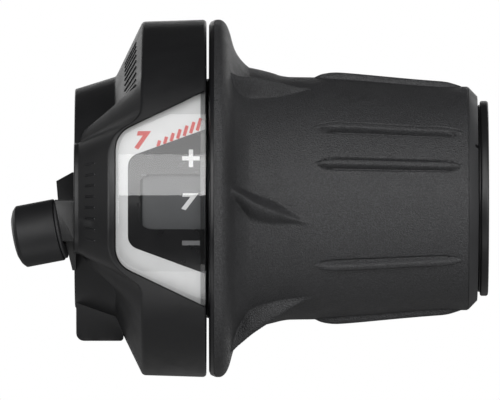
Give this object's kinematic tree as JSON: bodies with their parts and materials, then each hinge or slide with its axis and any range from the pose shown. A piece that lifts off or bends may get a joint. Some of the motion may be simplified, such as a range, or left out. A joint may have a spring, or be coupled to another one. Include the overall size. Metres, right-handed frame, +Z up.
{
  "type": "twist-grip gear shifter",
  "caption": "Right-hand twist-grip gear shifter for a flat handlebar: ribbed rubber grip, round clamp housing, clear gear window and cable adjuster.",
  "frame": {"origin": "on the handlebar's axis, in the plane of the clamp's inboard face", "axes": "+X along the handlebar towards the grip's outer end, -Y the way the gear window faces (towards the rider), +Z up"},
  "size_m": [0.0731, 0.0555, 0.055],
  "materials": {
    "shell_plastic": "satin moulded black plastic",
    "hard_plastic": "satin moulded black plastic",
    "inner_plastic": "plain moulded plastic",
    "ring_plastic": "satin grey plastic with printed numbers",
    "dial_white": "white printed plastic",
    "dial_dark": "dark printed panel",
    "clear_lens": "clear glossy moulded cover",
    "grip_rubber": "fine-grained soft grip rubber",
    "soft_rubber": "smooth black rubber",
    "steel": "zinc-plated steel",
    "brass": "turned brass",
    "liner": "slippery natural plastic"
  },
  "bodies": {
    "housing": {"housing_body": "shell_plastic", "dial_plate": "dial_white", "dial_panel": "dial_dark", "window_lens": "clear_lens", "bar_sleeve": "inner_plastic", "end_flange": "hard_plastic", "clamp_bolt": "steel", "clamp_washer": "steel", "clamp_insert": "brass", "detent_carrier": "inner_plastic", "detent_spring": "steel", "carrier_screw_1": "steel", "carrier_screw_2": "steel", "thrust_washer": "liner", "cable_guide": "liner", "adjuster_seal": "soft_rubber", "port_plug": "soft_rubber"},
    "grip": {"grip_tube": "hard_plastic", "grip_rubber": "grip_rubber", "indicator_ring": "ring_plastic", "cable_drum": "inner_plastic", "index_ring": "inner_plastic", "drum_clip": "steel"},
    "adjuster_knob": {"adjuster_barrel": "shell_plastic"},
    "adjuster_core": {"adjuster_screw": "steel"}
  },
  "joints": [
    {"name": "grip_twist", "type": "hinge", "parent": "housing", "child": "grip", "pos_m": [0, 0, 0], "axis": [1, 0, 0], "range_deg": [0, 74.4], "deforming": ["detent_spring"]},
    {"name": "adjuster_turn", "type": "hinge", "parent": "housing", "child": "adjuster_knob", "pos_m": [-0.00515, -0.01738, -0.00531], "axis": [-0.9752, 0.12, -0.186], "range_deg": [-360, 360]},
    {"name": "adjuster_slide", "type": "slide", "parent": "housing", "child": "adjuster_core", "axis": [-0.9752, 0.12, -0.186], "range_m": [-0.00085, 0.00085]}
  ],
  "couplings": [
    {"joint": "adjuster_slide", "follows": "adjuster_turn", "m_per_rad": 0.00012732}
  ]
}
